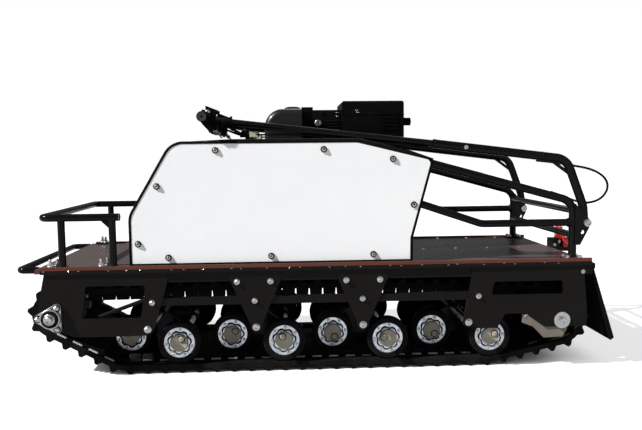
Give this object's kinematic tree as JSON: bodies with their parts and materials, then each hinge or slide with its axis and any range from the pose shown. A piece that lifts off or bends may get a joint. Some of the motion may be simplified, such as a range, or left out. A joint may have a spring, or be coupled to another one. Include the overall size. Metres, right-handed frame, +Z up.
{
  "type": "tracked snow tug",
  "caption": "Walk-behind snow tug on a single wide rubber track, with a flat plywood deck, white-sided engine hood, front rack and a tiller that folds forward over the hood.",
  "frame": {"origin": "on the ground under the middle of the bounding box", "axes": "+X forward, +Y to the machine's left side, +Z up"},
  "size_m": [1.782, 0.64, 0.821],
  "materials": {
    "track_rubber": "matte",
    "roller_rubber": "matte",
    "black_steel": "satin",
    "plywood": "glossy film",
    "zinc_steel": "zinc plated",
    "roller_disc": "zinc plated",
    "nylon": "matte",
    "beige_steel": "satin",
    "white_panel": "satin",
    "engine_metal": "matte",
    "black_plastic": "satin",
    "grip_rubber": "matte",
    "coupling_black": "satin",
    "latch_red": "glossy"
  },
  "bodies": {
    "chassis": {"rubber_track": "track_rubber", "roller_tyres": "roller_rubber", "return_rollers": "roller_rubber", "idler_wheels": "roller_rubber", "side_angles": "black_steel", "front_plates": "black_steel", "tab_plates": "black_steel", "rear_plates": "black_steel", "deck_cross_tubes": "black_steel", "side_rails": "black_steel", "front_struts": "black_steel", "bogie_rockers": "black_steel", "front_bumper": "black_steel", "rack_hoop": "black_steel", "rack_posts": "black_steel", "hood_frames": "black_steel", "hood_front_panel": "black_steel", "hood_top_panel": "black_steel", "hood_rear_panel": "black_steel", "upper_frames": "black_steel", "rear_frame_rails": "black_steel", "deck_board": "plywood", "bogie_shafts": "zinc_steel", "roller_axles": "zinc_steel", "drive_shaft": "zinc_steel", "front_bearings": "zinc_steel", "idler_axle": "zinc_steel", "pivot_bolts": "zinc_steel", "key_switch": "zinc_steel", "roller_discs": "roller_disc", "drive_sprockets": "nylon", "tension_brackets": "beige_steel", "hood_sides": "white_panel", "engine_block": "engine_metal", "blower_housing": "engine_metal", "fuel_tank": "black_plastic", "fuel_cap": "black_plastic", "control_box": "black_plastic", "air_cleaner": "black_plastic", "mud_flap": "grip_rubber", "control_cable": "grip_rubber", "tow_coupling": "coupling_black", "coupling_latch": "latch_red"},
    "tiller": {"tiller_arms": "black_steel", "tiller_handlebar": "black_steel", "tiller_grips": "grip_rubber", "tiller_levers": "black_plastic"}
  },
  "joints": [
    {"name": "tiller_fold", "type": "hinge", "parent": "chassis", "child": "tiller", "pos_m": [-0.793, 0, 0.442], "axis": [0, -1, 0], "range_deg": [0, 145], "deforming": ["control_cable"]}
  ]
}
